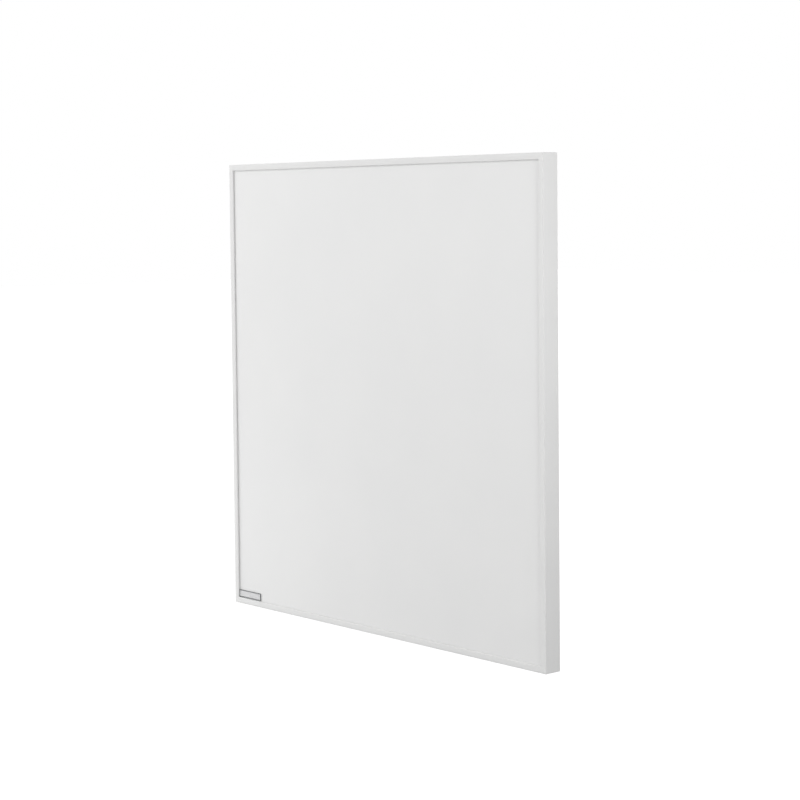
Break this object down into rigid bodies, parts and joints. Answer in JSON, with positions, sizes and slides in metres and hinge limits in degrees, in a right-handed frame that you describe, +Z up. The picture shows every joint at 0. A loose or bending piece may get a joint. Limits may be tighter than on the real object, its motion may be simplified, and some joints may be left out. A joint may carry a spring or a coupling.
{
  "type": "infrared panel heater",
  "caption": "Slim square infrared heater for a wall: a coated radiating plate in a mitred frame, with heating track, insulation, rear cover, terminal box and hooked wall rails.",
  "frame": {"origin": "middle of the upper wall rail's back face, which lies on the wall", "axes": "+X to the right as seen from the room, +Y into the wall, +Z up; the heater faces -Y"},
  "size_m": [0.595, 0.043, 0.595],
  "materials": {
    "white_frame": "white powder coat, fine satin texture, on extruded aluminium",
    "white_plate": "matt white enamel with a fine texture",
    "pale_gasket": "dull pale grey foam rubber",
    "brushed_badge": "brushed, bare",
    "grey_bezel": "dark grey satin",
    "zinc_steel": "bright zinc plate",
    "galvanised_sheet": "hot-dip galvanised sheet",
    "rivet_aluminium": "plain",
    "brass": "turned",
    "mica": "matt tan mica board",
    "track_alloy": "rolled resistance alloy, dull grey",
    "foil": "bright foil",
    "mineral_board": "matt ceramic-fibre board",
    "black_plastic": "moulded, fine spark texture",
    "grommet_rubber": "smooth black rubber",
    "white_ceramic": "unglazed steatite",
    "wire_sleeve": "silicone rubber insulation",
    "earth_sleeve": "green and yellow silicone rubber insulation"
  },
  "bodies": {
    "wall_rails": {"wall_rail_upper": "galvanised_sheet", "wall_rail_lower": "galvanised_sheet"},
    "heater": {"badge_bezel": "grey_bezel", "badge_plate": "brushed_badge", "base_screw_1": "zinc_steel", "base_screw_2": "zinc_steel", "box_lead_left": "wire_sleeve", "box_lead_right": "wire_sleeve", "clamp_screw_1": "zinc_steel", "clamp_screw_2": "zinc_steel", "cord_clamp": "zinc_steel", "corner_key_lower_left": "zinc_steel", "corner_key_lower_right": "zinc_steel", "corner_key_upper_left": "zinc_steel", "corner_key_upper_right": "zinc_steel", "cover_screw_bottom_1": "zinc_steel", "cover_screw_bottom_2": "zinc_steel", "cover_screw_left_1": "zinc_steel", "cover_screw_left_2": "zinc_steel", "cover_screw_right_1": "zinc_steel", "cover_screw_right_2": "zinc_steel", "cover_screw_top_1": "zinc_steel", "cover_screw_top_2": "zinc_steel", "earth_lead": "earth_sleeve", "earth_stud": "brass", "frame_rail_bottom": "white_frame", "frame_rail_left": "white_frame", "frame_rail_right": "white_frame", "frame_rail_top": "white_frame", "gland_body": "black_plastic", "gland_dome_nut": "black_plastic", "gland_locknut": "black_plastic", "hanger_rail_lower": "galvanised_sheet", "hanger_rail_upper": "galvanised_sheet", "hanger_rivet_lower_1": "rivet_aluminium", "hanger_rivet_lower_2": "rivet_aluminium", "hanger_rivet_upper_1": "rivet_aluminium", "hanger_rivet_upper_2": "rivet_aluminium", "heating_track": "track_alloy", "insulation_board": "mineral_board", "lid_screw_1": "zinc_steel", "lid_screw_2": "zinc_steel", "lip_gasket": "pale_gasket", "mica_sheet_front": "mica", "mica_sheet_rear": "mica", "radiating_plate": "white_plate", "rear_cover": "galvanised_sheet", "reflector_foil": "foil", "terminal_block": "white_ceramic", "terminal_box_base": "black_plastic", "terminal_box_lid": "black_plastic", "thermal_cutout_left": "white_ceramic", "thermal_cutout_right": "white_ceramic", "track_lead_left": "wire_sleeve", "track_lead_right": "wire_sleeve", "track_post_left": "brass", "track_post_right": "brass", "wire_grommet": "grommet_rubber"}
  },
  "joints": [
    {"name": "lift_off", "type": "slide", "parent": "wall_rails", "child": "heater", "axis": [0, 0, 1], "range_m": [0, 0.012]}
  ]
}
